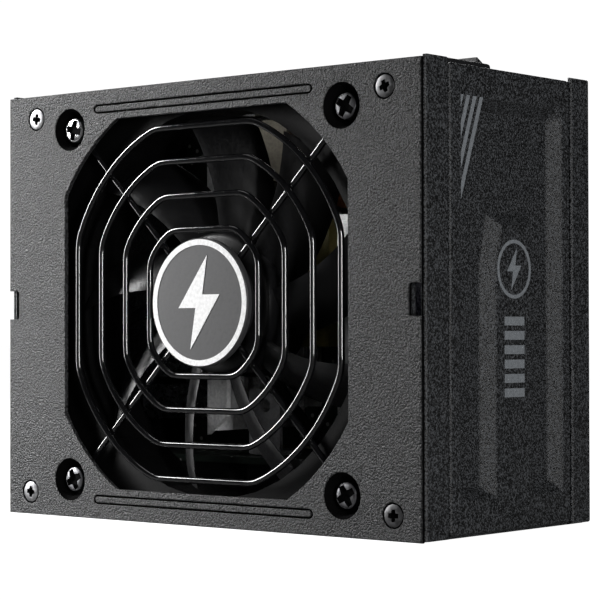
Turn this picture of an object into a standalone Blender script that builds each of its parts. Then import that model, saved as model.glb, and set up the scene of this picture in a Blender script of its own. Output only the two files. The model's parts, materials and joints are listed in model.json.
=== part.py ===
"""Small form factor modular power supply with a 92 mm fan.

The fan face looks along -Y, the mains panel is on top and the output sockets are underneath.
The origin is at the bottom centre of the case. All sizes are in metres.
"""
import math

import bmesh
import bpy
from mathutils import Matrix, Vector

# ---- driving dimensions ----
CASE_WIDTH = 0.125
CASE_DEPTH = 0.0635
CASE_HEIGHT = 0.100
SHEET = 0.0010
GAP = 0.0003
OVERLAP = 0.0001  # how far joined boxes step past each other, so that no faces coincide

HALF_WIDTH = CASE_WIDTH / 2
FRONT = -CASE_DEPTH / 2
BACK = CASE_DEPTH / 2
MID_HEIGHT = CASE_HEIGHT / 2

# fan cover plate
COVER_THICKNESS = 0.0010
COVER_HALF_WIDTH = 0.0622
OPENING_HALF = 0.0429
OPENING_RADIUS = 0.0500
NOTCH_DEPTH = 0.0032
NOTCH_HALF_HEIGHT = 0.0034
NOTCH_CORNER = 0.0006
WELL_RADIUS = 0.0051
WELL_FLOOR_RADIUS = 0.0037
WELL_DEPTH = 0.0031
GROOVE_HALF_LENGTH = 0.0332
GROOVE_HALF_HEIGHT = 0.00105
GROOVE_WIDTH = 0.00035
GROOVE_DEPTH = 0.0004
GROOVE_OFFSET = 0.0455

# screws
FAN_HOLE_HALF = 0.04125
FAN_SCREW_HEAD_RADIUS = 0.00285
FAN_SCREW_HEAD_DEPTH = 0.0012
CASE_SCREW_PLACES = [(-0.0528, 0.0945), (0.0528, 0.0945), (-0.0548, 0.0053), (0.0548, 0.0053)]
CASE_SCREW_HEAD_RADIUS = 0.0024
CASE_SCREW_SINK_RADIUS = 0.0030
SCREW_SIDES = 16
CASE_SCREW_HEAD_DEPTH = 0.0001
SLOT_DEPTH = 0.0006
FAN_SCREW_TURNS = [25, 12, 20, 35]
CASE_SCREW_TURNS = [5, 25, 10, 15]

# shell frame and panels
FLANGE_START = 0.0013
SHELL_LOW = 0.0002
SHELL_HIGH = 0.1006
FLANGE_WINDOW_HALF = 0.0470
STRIP_END = 0.0089
PANEL_TOP = 0.0997
PANEL_END = 0.0621
LIP_HEIGHT = 0.0040
PANEL_INSET = 0.0014
SEAT_DEPTH = 0.0003

# side covers
SIDE_START = 0.0098
SIDE_END = 0.0554
SIDE_LOW = 0.0006
SIDE_HIGH = 0.0997
EMBOSS_DEPTH = 0.0026

# back cover
TRAY_START = 0.0562

# grille: each ring is a square with its corners cut by a circle
WIRE_RADIUS = 0.00075
RING_DEPTH = 0.0016
RING_SIZES = [(0.0399, 0.0426), (0.0321, 0.0349), (0.0242, 0.0271), (0.0165, 0.0191)]
SPOKE_DEPTH = 0.00283
SPOKE_REACH = 0.0517
SPOKE_START = 0.0090
BADGE_RADIUS = 0.0145
BADGE_FRONT = 0.0003
BADGE_BACK = 0.0018

# fan
FAN_FRONT = 0.0044
FAN_BACK = 0.0194
FAN_HALF = 0.0460
FAN_BORE = 0.0440
HUB_RADIUS = 0.0160
HUB_FRONT = 0.0055
HUB_BACK = 0.0160
BLADE_TIP = 0.0428
BLADE_COUNT = 9
BLADE_FRONT = 0.0062
BLADE_BACK = 0.0158
SHAFT_RADIUS = 0.0015
STRUT_ANGLES = [57, 177, 297]
BLADE_CHORD = (0.0105, 0.0118)  # length round the axis, at the hub and at the tip

# mains inlet
INLET_X = 0.0375
INLET_DEPTH = 0.02875
INLET_FLANGE = (0.0302, 0.0224)
INLET_BODY = (0.0270, 0.0178)
INLET_TOP = 0.1028
INLET_BOTTOM = 0.0800
INLET_CAVITY_BOTTOM = 0.0860
PIN_TOP = 0.0975

# rocker switch
SWITCH_X = 0.0420
SWITCH_DEPTH = 0.0487
SWITCH_BEZEL = (0.0105, 0.0150)
SWITCH_BODY = (0.0086, 0.0132)
SWITCH_TOP = 0.1017
SWITCH_BOTTOM = 0.0880
ROCKER_AXIS_HEIGHT = 0.1009
ROCKER_TILT = 12

# mains panel vent
VENT_PITCH = 0.0070
VENT_HOLE_RADIUS = 0.00345
VENT_X = (-0.0500, 0.0170)
VENT_DEPTH = (0.0070, 0.0560)
MOUNT_HOLE_HALF = 0.0565
MOUNT_HOLE_DEPTHS = (0.0060, 0.0575)
MOUNT_HOLE_RADIUS = 0.0018

# output sockets: name, columns, place along X, depth
SOCKET_PITCH = 0.0042
SOCKET_WALL = 0.0008
SOCKET_LOW = 0.0003
SOCKET_HIGH = 0.0125
SOCKETS = [
    ("socket_main_wide", 9, -0.0330, 0.0300),
    ("socket_main_narrow", 5, 0.0030, 0.0300),
    ("socket_power_1", 4, 0.0270, 0.0300),
    ("socket_power_2", 4, 0.0478, 0.0300),
    ("socket_power_3", 4, -0.0450, 0.0460),
    ("socket_drive_1", 3, -0.0215, 0.0460),
    ("socket_drive_2", 3, 0.0000, 0.0460),
    ("socket_drive_3", 3, 0.0215, 0.0460),
    ("socket_power_4", 4, 0.0450, 0.0460),
]

# power parts on the main board
PARTS_END = 0.0582
SINK_FRONT = 0.0250
SINK_SHEET = 0.0014
FIN_PITCH = 0.0055
FIN_REACH = 0.0070
BULK_CAN = (0.0440, 0.0400, 0.0125)  # place along X, depth, radius
SMALL_CAN = (-0.0500, 0.0380, 0.0044)  # place along X, depth of the free end, radius
CHOKE_PLACE = (0.0095, 0.0830)

PARTS = None
CUTTERS = None
# rotations that lay a flat outline, drawn in X and Y, into each plane
PLANES = {
    "XY": Matrix.Identity(4),
    "XZ": Matrix.Rotation(math.pi / 2, 4, "X"),
    "YZ": Matrix(((0, 0, 1, 0), (1, 0, 0, 0), (0, 1, 0, 0), (0, 0, 0, 1))),
}


# ---- helpers ----
def start_scene():
    """Clear the scene and make one collection for the parts and one for the cutters."""
    global PARTS, CUTTERS
    for old in list(bpy.data.objects):
        bpy.data.objects.remove(old, do_unlink=True)
    PARTS = bpy.data.collections.new("power_supply")
    CUTTERS = bpy.data.collections.new("cutters")
    for collection in (PARTS, CUTTERS):
        bpy.context.scene.collection.children.link(collection)


def at_depth(depth):
    """Y of a point that lies this far behind the fan face."""
    return FRONT + depth


def new_object(name, mesh, cutter=False):
    """Link a mesh as a part, or as a hidden cutter."""
    obj = bpy.data.objects.new(name, mesh)
    (CUTTERS if cutter else PARTS).objects.link(obj)
    if cutter:
        obj.hide_render = True
        obj.display_type = "WIRE"
    return obj


def mesh_from(name, bm):
    """Finish a bmesh as a mesh with its faces pointing out."""
    bmesh.ops.recalc_face_normals(bm, faces=bm.faces)
    mesh = bpy.data.meshes.new(name)
    bm.to_mesh(mesh)
    bm.free()
    return mesh


def put_box(bm, low, high):
    """Add a box between two corners."""
    made = bmesh.ops.create_cube(bm, size=1.0)
    size = Vector(high) - Vector(low)
    middle = (Vector(high) + Vector(low)) / 2
    bmesh.ops.scale(bm, vec=size, verts=made["verts"])
    bmesh.ops.translate(bm, vec=middle, verts=made["verts"])


def put_cone(bm, start, end, radius_start, radius_end, sides=24):
    """Add a cylinder or cone between two points."""
    start, end = Vector(start), Vector(end)
    along = end - start
    turn = Vector((0, 0, 1)).rotation_difference(along).to_matrix().to_4x4()
    bmesh.ops.create_cone(bm, cap_ends=True, segments=sides, radius1=radius_start, radius2=radius_end,
                          depth=along.length, matrix=Matrix.Translation((start + end) / 2) @ turn)


def boxes(name, corners, cutter=False):
    """One object from boxes given as (low, high) corners."""
    bm = bmesh.new()
    for low, high in corners:
        put_box(bm, low, high)
    return new_object(name, mesh_from(name, bm), cutter)


def cones(name, shapes, cutter=False):
    """One object from cones given as (start, end, start radius, end radius, sides)."""
    bm = bmesh.new()
    for shape in shapes:
        put_cone(bm, *shape)
    return new_object(name, mesh_from(name, bm), cutter)


def modify(obj, kind, cutter):
    """Add an exact Boolean of the given kind."""
    step = obj.modifiers.new(cutter.name, "BOOLEAN")
    step.operation = kind
    step.solver = "EXACT"
    step.object = cutter
    return obj


def as_mesh(curve_object, name, cutter):
    """Swap a curve object for a mesh object with its caps welded on."""
    depsgraph = bpy.context.evaluated_depsgraph_get()
    mesh = bpy.data.meshes.new_from_object(curve_object.evaluated_get(depsgraph))
    bm = bmesh.new()
    bm.from_mesh(mesh)
    bmesh.ops.remove_doubles(bm, verts=bm.verts, dist=1e-6)
    obj = new_object(name, mesh_from(name, bm), cutter)
    obj.matrix_world = curve_object.matrix_world
    bpy.data.objects.remove(curve_object, do_unlink=True)
    bpy.data.meshes.remove(mesh)
    return obj


def plate(name, outlines, plane, middle, thickness, cutter=False):
    """Flat outlines, with the inner ones as holes, given a thickness about their middle plane."""
    curve = bpy.data.curves.new(name, "CURVE")
    curve.dimensions = "2D"
    curve.fill_mode = "BOTH"
    curve.extrude = thickness / 2
    for points in outlines:
        spline = curve.splines.new("POLY")
        spline.points.add(len(points) - 1)
        for spot, (across, up) in zip(spline.points, points):
            spot.co = (across, up, 0, 1)
        spline.use_cyclic_u = True
    holder = bpy.data.objects.new(name + "_outline", curve)
    bpy.context.scene.collection.objects.link(holder)
    holder.matrix_world = Matrix.Translation(middle) @ PLANES[plane]
    bpy.context.view_layer.update()
    return as_mesh(holder, name, cutter)


def wire(name, points, radius, closed=False, sides=2, cutter=True):
    """A round wire along a list of points, as a mesh."""
    curve = bpy.data.curves.new(name, "CURVE")
    curve.dimensions = "3D"
    curve.bevel_depth = radius
    curve.bevel_resolution = sides
    curve.use_fill_caps = True
    spline = curve.splines.new("POLY")
    spline.points.add(len(points) - 1)
    for spot, place in zip(spline.points, points):
        spot.co = (*place, 1)
    spline.use_cyclic_u = closed
    holder = bpy.data.objects.new(name + "_path", curve)
    bpy.context.scene.collection.objects.link(holder)
    bpy.context.view_layer.update()
    return as_mesh(holder, name, cutter)


def finish(obj, color, roughness, metallic=0.0, smooth=None):
    """Give the part its own material, and smooth shading where it is round."""
    material = bpy.data.materials.new(obj.name)
    material.use_nodes = True
    shader = material.node_tree.nodes["Principled BSDF"]
    shader.inputs["Base Color"].default_value = (*color, 1)
    shader.inputs["Roughness"].default_value = roughness
    shader.inputs["Metallic"].default_value = metallic
    obj.data.materials.clear()
    obj.data.materials.append(material)
    if smooth:
        obj.data.shade_smooth()
        obj.data.set_sharp_from_angle(angle=math.radians(smooth))
    return obj


def arc(radius, start, end, steps, center=(0, 0)):
    """Points on an arc, in degrees, both ends included."""
    points = []
    for index in range(steps + 1):
        angle = math.radians(start + (end - start) * index / steps)
        points.append((center[0] + radius * math.cos(angle), center[1] + radius * math.sin(angle)))
    return points


def circle(radius, sides, center=(0, 0), turn=0):
    """A closed ring of points."""
    return arc(radius, turn, turn + 360, sides, center)[:-1]


def rectangle(low, high):
    """Four corners of a rectangle."""
    return [(low[0], low[1]), (high[0], low[1]), (high[0], high[1]), (low[0], high[1])]


def round_rectangle(size, radius, steps=3, center=(0, 0)):
    """A rectangle with rounded corners about its centre."""
    points = []
    for number, (side_x, side_y) in enumerate([(1, 1), (-1, 1), (-1, -1), (1, -1)]):
        corner = (center[0] + side_x * (size[0] / 2 - radius), center[1] + side_y * (size[1] / 2 - radius))
        points += arc(radius, 90 * number, 90 * number + 90, steps, corner)
    return points


def stadium(half_length, half_height, steps=5, center=(0, 0)):
    """A long outline with round ends."""
    reach = half_length - half_height
    right = arc(half_height, -90, 90, steps, (center[0] + reach, center[1]))
    left = arc(half_height, 90, 270, steps, (center[0] - reach, center[1]))
    return right + left


def cut_square(half, radius, steps, center=(0, 0)):
    """A square whose corners are cut off by a circle about its centre."""
    lean = math.degrees(math.acos(half / radius))
    points = []
    for number in range(4):
        points += arc(radius, 90 * number + lean, 90 * number + 90 - lean, steps, center)
    return points


# ---- case ----
def make_fan_cover():
    """Plate over the fan, with its opening, dished screw wells, grooves and notches."""
    outline = rectangle((-COVER_HALF_WIDTH, 0), (COVER_HALF_WIDTH, CASE_HEIGHT))
    holes = [cut_square(OPENING_HALF, OPENING_RADIUS, 6, (0, MID_HEIGHT))]
    middle = (0, at_depth(COVER_THICKNESS / 2), 0)
    cover = plate("fan_cover", [outline] + holes, "XZ", middle, COVER_THICKNESS)
    wells, dishes, bores = [], [], []
    back = WELL_DEPTH + SHEET
    for x, z in fan_screw_places():
        wells.append(((x, at_depth(0.0006), z), (x, at_depth(back), z),
                      WELL_RADIUS + SHEET, WELL_FLOOR_RADIUS + SHEET, 24))
        dishes.append(((x, at_depth(-0.0001), z), (x, at_depth(WELL_DEPTH), z),
                       WELL_RADIUS, WELL_FLOOR_RADIUS, 24))
        bores.append(((x, at_depth(WELL_DEPTH - 0.001), z), (x, at_depth(back + 0.001), z),
                      0.0021, 0.0021, SCREW_SIDES))
    for x, z in CASE_SCREW_PLACES:
        bores.append(((x, at_depth(-0.0001), z), (x, at_depth(COVER_THICKNESS + 0.0001), z),
                      CASE_SCREW_SINK_RADIUS, 0.0018, 20))
    modify(cover, "UNION", cones("cover_wells", wells, True))
    modify(cover, "DIFFERENCE", cones("cover_dishes", dishes, True))
    modify(cover, "DIFFERENCE", cones("cover_bores", bores, True))
    notches = [round_rectangle((2 * NOTCH_DEPTH, 2 * NOTCH_HALF_HEIGHT), NOTCH_CORNER, 3,
                               (side * COVER_HALF_WIDTH, MID_HEIGHT)) for side in (-1, 1)]
    modify(cover, "DIFFERENCE", plate("cover_notches", notches, "XZ", middle, 3 * COVER_THICKNESS, True))
    for number, side in enumerate((-1, 1)):
        center = (0, MID_HEIGHT + side * GROOVE_OFFSET)
        inner = (GROOVE_HALF_LENGTH - GROOVE_WIDTH, GROOVE_HALF_HEIGHT - GROOVE_WIDTH)
        rings = [stadium(GROOVE_HALF_LENGTH, GROOVE_HALF_HEIGHT, center=center),
                 stadium(*inner, center=center)]
        groove = plate(f"cover_groove_{number}", rings, "XZ", (0, FRONT, 0), 2 * GROOVE_DEPTH, True)
        modify(cover, "DIFFERENCE", groove)
    finish(cover, (0.055, 0.056, 0.058), 0.55, 0.2, 30)


def fan_screw_places():
    """The four fan screws, seen from the front."""
    return [(side_x * FAN_HOLE_HALF, MID_HEIGHT + side_z * FAN_HOLE_HALF)
            for side_x in (-1, 1) for side_z in (-1, 1)]


def vent_holes():
    """Hexagons of the mains panel's vent, in staggered rows."""
    holes = []
    row_step = VENT_PITCH * math.sqrt(3) / 2
    rows = int((VENT_DEPTH[1] - VENT_DEPTH[0]) / row_step) + 1
    columns = int((VENT_X[1] - VENT_X[0]) / VENT_PITCH) + 1
    for row in range(rows):
        shift = VENT_PITCH / 2 if row % 2 else 0
        for column in range(columns - row % 2):
            spot = (VENT_X[0] + shift + column * VENT_PITCH, at_depth(VENT_DEPTH[0] + row * row_step))
            holes.append(circle(VENT_HOLE_RADIUS, 6, spot, 30))
    return holes


def socket_size(columns):
    """Width and depth of an output socket."""
    return (columns * SOCKET_PITCH + SOCKET_WALL, 2 * SOCKET_PITCH + SOCKET_WALL)


def panel_boxes(low, high, lip_low, lip_high):
    """A horizontal panel and its two folded lips, which stand inside the side covers."""
    wide = HALF_WIDTH - PANEL_INSET
    start, rear = at_depth(FLANGE_START + SHEET + GAP), at_depth(PANEL_END)
    shapes = [((-wide, start, low), (wide, rear, high))]
    for side in (-1, 1):
        xs = sorted((side * (wide - OVERLAP), side * (wide - SHEET)))
        shapes.append(((xs[0], start + OVERLAP, lip_low), (xs[1], rear - SHEET, lip_high)))
    return shapes


def make_panel(name, shapes):
    """Join a panel with its lips."""
    panel = boxes(name, shapes[:1])
    for number, lip in enumerate(shapes[1:]):
        modify(panel, "UNION", boxes(f"{name}_lip_{number}", [lip], True))
    return panel


def make_mains_panel():
    """Panel with the vent, the mounting holes and the places of the mains inlet and the switch."""
    panel = make_panel("mains_panel", panel_boxes(PANEL_TOP - SHEET, PANEL_TOP,
                                                  PANEL_TOP - LIP_HEIGHT, PANEL_TOP - 2 * OVERLAP))
    inlet_spot, switch_spot = (INLET_X, at_depth(INLET_DEPTH)), (SWITCH_X, at_depth(SWITCH_DEPTH))
    seats = [round_rectangle([side + 4 * OVERLAP for side in INLET_FLANGE], 0.0022, 3, inlet_spot),
             round_rectangle([side + 4 * OVERLAP for side in SWITCH_BEZEL], 0.0012, 2, switch_spot)]
    modify(panel, "DIFFERENCE", plate("panel_seats", seats, "XY", (0, 0, PANEL_TOP), 2 * SEAT_DEPTH, True))
    holes = [round_rectangle((INLET_BODY[0] + 2 * GAP, INLET_BODY[1] + 2 * GAP), 0.002, 2, inlet_spot)]
    half_x, half_y = SWITCH_BODY[0] / 2 + GAP, SWITCH_BODY[1] / 2 + GAP
    holes.append(rectangle((switch_spot[0] - half_x, switch_spot[1] - half_y),
                           (switch_spot[0] + half_x, switch_spot[1] + half_y)))
    for x in (-MOUNT_HOLE_HALF, MOUNT_HOLE_HALF):
        for depth in MOUNT_HOLE_DEPTHS:
            holes.append(circle(MOUNT_HOLE_RADIUS, 12, (x, at_depth(depth))))
    holes += vent_holes()
    through = plate("panel_holes", holes, "XY", (0, 0, PANEL_TOP - SHEET / 2), 3 * SHEET, True)
    modify(panel, "DIFFERENCE", through)
    finish(panel, (0.030, 0.031, 0.033), 0.55, 0.2)


def make_output_panel():
    """Panel with a cutout for each output socket; the unit stands on it."""
    panel = make_panel("output_panel", panel_boxes(0, SHEET, 2 * OVERLAP, LIP_HEIGHT))
    openings = []
    for _, columns, x, depth in SOCKETS:
        size = socket_size(columns)
        low = (x - size[0] / 2 - GAP, at_depth(depth) - size[1] / 2 - GAP, -0.001)
        high = (x + size[0] / 2 + GAP, at_depth(depth) + size[1] / 2 + GAP, 2 * SHEET)
        openings.append((low, high))
    modify(panel, "DIFFERENCE", boxes("socket_openings", openings, True))
    finish(panel, (0.030, 0.031, 0.033), 0.55, 0.2)


def make_shell_frame():
    """Flange behind the fan cover, folded back into a strip at each side."""
    edge = HALF_WIDTH - OVERLAP
    outline = rectangle((-edge, SHELL_LOW + OVERLAP), (edge, CASE_HEIGHT - OVERLAP))
    half = FLANGE_WINDOW_HALF
    window = rectangle((-half, MID_HEIGHT - half), (half, MID_HEIGHT + half))
    frame = plate("shell_frame", [outline, window], "XZ",
                  (0, at_depth(FLANGE_START + SHEET / 2 + OVERLAP / 2), 0), SHEET)
    for side in (-1, 1):
        xs = sorted((side * HALF_WIDTH, side * (HALF_WIDTH - SHEET)))
        strip = boxes(f"shell_strip_{side}", [((xs[0], at_depth(FLANGE_START), SHELL_LOW),
                                               (xs[1], at_depth(STRIP_END), SHELL_HIGH))], True)
        modify(frame, "UNION", strip)
    bores = [((x, at_depth(0), z), (x, at_depth(0.004), z), 0.0016, 0.0016, 12) for x, z in CASE_SCREW_PLACES]
    modify(frame, "DIFFERENCE", cones("flange_bores", bores, True))
    slots = []
    for side in (-1, 1):
        xs = sorted((side * (COVER_HALF_WIDTH - NOTCH_DEPTH), side * (HALF_WIDTH - SHEET - GAP)))
        slots.append(((xs[0], at_depth(0), MID_HEIGHT - NOTCH_HALF_HEIGHT),
                      (xs[1], at_depth(0.004), MID_HEIGHT + NOTCH_HALF_HEIGHT)))
    modify(frame, "DIFFERENCE", boxes("flange_slots", slots, True))
    finish(frame, (0.030, 0.031, 0.033), 0.55, 0.2)


def make_side_cover(name, side):
    """Embossed side cover: an open sheet with a sunk channel round a raised tongue, then thickened."""
    rim = [(0.0135, 0.0077), (0.0263, 0.0077), (0.0263, 0.0572), (0.0285, 0.0663), (0.0396, 0.0666),
           (0.0402, 0.0077), (0.0522, 0.0077), (0.0522, 0.0910), (0.0502, 0.0932), (0.0229, 0.0932),
           (0.0135, 0.0695)]
    corner = 0.0010
    size = (SIDE_END - SIDE_START, SIDE_HIGH - SIDE_LOW)
    center = ((SIDE_START + SIDE_END) / 2, (SIDE_LOW + SIDE_HIGH) / 2)
    edge = round_rectangle(size, corner, 2, center)
    bm = bmesh.new()
    loops = []
    for points in (edge, rim):
        verts = [bm.verts.new((0, at_depth(depth), z)) for depth, z in points]
        loops.append(verts)
        for first, second in zip(verts, verts[1:] + verts[:1]):
            bm.edges.new((first, second))
    bmesh.ops.triangle_fill(bm, edges=bm.edges[:], use_beauty=True, normal=(1, 0, 0))
    floor = bm.faces.get(loops[1]) or bm.faces.new(loops[1])
    bmesh.ops.recalc_face_normals(bm, faces=bm.faces)
    if floor.normal.x < 0:
        bmesh.ops.reverse_faces(bm, faces=bm.faces)
    bmesh.ops.inset_individual(bm, faces=[floor], thickness=EMBOSS_DEPTH, depth=-EMBOSS_DEPTH,
                               use_even_offset=True)
    bmesh.ops.triangulate(bm, faces=[floor])
    bmesh.ops.scale(bm, vec=(side, 1, 1), verts=bm.verts)
    if side < 0:
        bmesh.ops.reverse_faces(bm, faces=bm.faces)
    bmesh.ops.translate(bm, vec=(side * HALF_WIDTH, 0, 0), verts=bm.verts)
    mesh = bpy.data.meshes.new(name)
    bm.to_mesh(mesh)
    bm.free()
    cover = new_object(name, mesh)
    thick = cover.modifiers.new("thickness", "SOLIDIFY")
    thick.thickness = 0.0009
    thick.offset = -1
    thick.use_even_offset = True
    finish(cover, (0.022, 0.023, 0.025), 0.55, 0.2)


def make_back_cover():
    """Tray that closes the side opposite the fan; its rims stand just behind the side covers."""
    rim_z = (SHELL_LOW, SHELL_HIGH)
    tray = boxes("back_cover", [((-HALF_WIDTH, BACK - SHEET, rim_z[0]), (HALF_WIDTH, BACK, rim_z[1]))])
    rims = []
    for side in (-1, 1):
        xs = sorted((side * HALF_WIDTH, side * (HALF_WIDTH - SHEET)))
        rims.append(((xs[0], at_depth(TRAY_START), rim_z[0]), (xs[1], BACK - 0.0002, rim_z[1])))
    modify(tray, "UNION", boxes("tray_rims", rims, True))
    finish(tray, (0.022, 0.023, 0.025), 0.55, 0.2)


def make_screw(name, place, turn, head, shank_radius, shank_end, slanted):
    """Cross-head screw along Y, its cross turned by an angle in degrees. The head is radius, front, back."""
    x, z = place
    head_radius, head_front, head_back = head
    under = shank_radius + 0.0001 if slanted else head_radius
    screw = cones(name, [((x, at_depth(head_front), z), (x, at_depth(head_back), z),
                          head_radius, under, SCREW_SIDES)])
    shank = cones(name + "_shank", [((x, at_depth(head_back - 0.0003), z), (x, at_depth(shank_end), z),
                                     shank_radius, shank_radius, 10)], True)
    modify(screw, "UNION", shank)
    long, short = 0.62 * head_radius, 0.20 * head_radius
    for number, (reach_x, reach_z) in enumerate(((long, short), (short, long))):
        bar = ((-reach_x, -0.001, -reach_z), (reach_x, SLOT_DEPTH, reach_z))
        slot = boxes(f"{name}_slot_{number}", [bar], True)
        slot.location = (x, at_depth(head_front), z)
        slot.rotation_euler.y = math.radians(-turn)
        modify(screw, "DIFFERENCE", slot)
    finish(screw, (0.12, 0.12, 0.125), 0.35, 0.9, 40)


def make_screws():
    """Four fan screws in the wells and four case screws near the corners."""
    head = (FAN_SCREW_HEAD_RADIUS, FAN_SCREW_HEAD_DEPTH, WELL_DEPTH - GAP)
    for number, place in enumerate(fan_screw_places(), 1):
        turn = FAN_SCREW_TURNS[number - 1]
        make_screw(f"fan_screw_{number}", place, turn, head, 0.0018, 0.0110, False)
    head = (CASE_SCREW_HEAD_RADIUS, CASE_SCREW_HEAD_DEPTH, COVER_THICKNESS)
    for number, place in enumerate(CASE_SCREW_PLACES, 1):
        turn = CASE_SCREW_TURNS[number - 1]
        make_screw(f"case_screw_{number}", place, turn, head, 0.0012, 0.0060, True)


# ---- grille and fan ----
def make_grille():
    """Four wire rings welded on four spokes."""
    grille = None
    for number, (half, radius) in enumerate(RING_SIZES):
        points = [(x, at_depth(RING_DEPTH), z) for x, z in cut_square(half, radius, 5, (0, MID_HEIGHT))]
        ring = wire(f"grille_ring_{number}", points, WIRE_RADIUS, True, 1, number > 0)
        if grille is None:
            grille = ring
            grille.name = "fan_grille"
        else:
            modify(grille, "UNION", ring)
    for number in range(4):
        angle = math.radians(45 + 90 * number)
        ends = []
        for reach in (SPOKE_START, SPOKE_REACH):
            height = MID_HEIGHT + reach * math.sin(angle)
            ends.append((reach * math.cos(angle), at_depth(SPOKE_DEPTH), height))
        modify(grille, "UNION", wire(f"grille_spoke_{number}", ends, WIRE_RADIUS, False, 1))
    hoop_line = circle(SPOKE_START + 0.0006, 20, (0, MID_HEIGHT))
    hoop = [(x, at_depth(SPOKE_DEPTH + 0.00021), z) for x, z in hoop_line]
    modify(grille, "UNION", wire("grille_hoop", hoop, WIRE_RADIUS, True, 1))
    finish(grille, (0.02, 0.02, 0.022), 0.25, 0.8, 50)


def make_badge():
    """Round badge in the middle of the grille."""
    middle = (0, at_depth((BADGE_FRONT + BADGE_BACK) / 2), 0)
    badge = plate("grille_badge", [circle(BADGE_RADIUS, 40, (0, MID_HEIGHT))], "XZ", middle,
                  BADGE_BACK - BADGE_FRONT)
    finish(badge, (0.10, 0.10, 0.105), 0.4)


def make_fan_frame():
    """Square frame with a round bore, corner bolt holes, curved struts and the motor base."""
    outline = round_rectangle((2 * FAN_HALF, 2 * FAN_HALF), 0.004, 2, (0, MID_HEIGHT))
    holes = [circle(FAN_BORE, 40, (0, MID_HEIGHT))]
    for x, z in fan_screw_places():
        holes.append(circle(0.0022, 12, (x, z)))
    middle = at_depth((FAN_FRONT + FAN_BACK) / 2)
    frame = plate("fan_frame", [outline] + holes, "XZ", (0, middle, 0), FAN_BACK - FAN_FRONT)
    base_front = HUB_BACK + 0.0012
    base = cones("fan_base", [((0, at_depth(base_front), MID_HEIGHT), (0, at_depth(FAN_BACK), MID_HEIGHT),
                               HUB_RADIUS + 0.001, HUB_RADIUS + 0.001, 28)], True)
    modify(frame, "UNION", base)
    for number, turn in enumerate(STRUT_ANGLES):
        points = []
        for step in range(6):
            reach = 0.015 + 0.0305 * step / 5
            angle = math.radians(turn - 6 + 18 * step / 5)
            points.append((reach * math.cos(angle), at_depth(0.0180), MID_HEIGHT + reach * math.sin(angle)))
        modify(frame, "UNION", wire(f"fan_strut_{number}", points, 0.0013, False, 1))
    hole_start = (0, at_depth(base_front - 0.001), MID_HEIGHT)
    hole_end = (0, at_depth(FAN_BACK + 0.001), MID_HEIGHT)
    bearing_hole = cones("base_hole", [(hole_start, hole_end, 0.0033, 0.0033, 16)], True)
    modify(frame, "DIFFERENCE", bearing_hole)
    finish(frame, (0.016, 0.016, 0.018), 0.5, 0.0, 30)


def blade_surface(bm, turn):
    """One twisted blade as an open grid, from inside the hub wall to the tip."""
    rings, chords = 4, 3
    rows = []
    for ring in range(rings + 1):
        part = ring / rings
        reach = HUB_RADIUS - 0.0006 + (BLADE_TIP - HUB_RADIUS + 0.0006) * part
        lead = math.radians(turn + 12 * part ** 1.4)
        span = (BLADE_CHORD[0] + (BLADE_CHORD[1] - BLADE_CHORD[0]) * part) / reach
        row = []
        for chord in range(chords + 1):
            along = chord / chords
            angle = lead - span * along
            depth = BLADE_FRONT + (BLADE_BACK - BLADE_FRONT) * (0.85 * along + 0.15 * along * along)
            depth += 0.0012 * (1 - part) * (1 - along)
            row.append(bm.verts.new((reach * math.cos(angle), at_depth(depth), reach * math.sin(angle))))
        rows.append(row)
    for lower, upper in zip(rows, rows[1:]):
        for index in range(chords):
            bm.faces.new((lower[index], lower[index + 1], upper[index + 1], upper[index]))


def make_rotor():
    """Fan rotor: hub cup and nine swept blades. Its origin is on the spin axis."""
    bm = bmesh.new()
    hub_front, hub_back = at_depth(HUB_FRONT), at_depth(HUB_BACK)
    put_cone(bm, (0, hub_back, 0), (0, hub_front + 0.0008, 0), HUB_RADIUS, HUB_RADIUS, 36)
    rotor = new_object("fan_rotor", mesh_from("fan_rotor", bm))
    dome = cones("hub_dome", [((0, hub_front + 0.0010, 0), (0, hub_front, 0),
                               HUB_RADIUS - 0.0001, HUB_RADIUS - 0.0009, 36)], True)
    cup = cones("hub_cup", [((0, hub_front + 0.0016, 0), (0, hub_back + 0.001, 0),
                             HUB_RADIUS - 0.0014, HUB_RADIUS - 0.0014, 28)], True)
    modify(rotor, "UNION", dome)
    for number in range(BLADE_COUNT):
        bm = bmesh.new()
        blade_surface(bm, 90 + number * 360 / BLADE_COUNT)
        blade = new_object(f"blade_{number}", mesh_from(f"blade_{number}", bm), True)
        thick = blade.modifiers.new("thickness", "SOLIDIFY")
        thick.thickness = 0.0011
        thick.offset = 0
        modify(rotor, "UNION", blade)
    modify(rotor, "DIFFERENCE", cup)
    hole = stadium(0.0018, 0.00115, 4, (0, 0))
    turned = [(up, 0.0127 + across) for across, up in hole]
    balance = plate("balance_hole", [turned], "XZ", (0, hub_front, 0), 0.0016, True)
    modify(rotor, "DIFFERENCE", balance)
    for item in [rotor] + [step.object for step in rotor.modifiers]:
        item.location.z += MID_HEIGHT
    finish(rotor, (0.016, 0.016, 0.018), 0.4, 0.0, 35)


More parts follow.
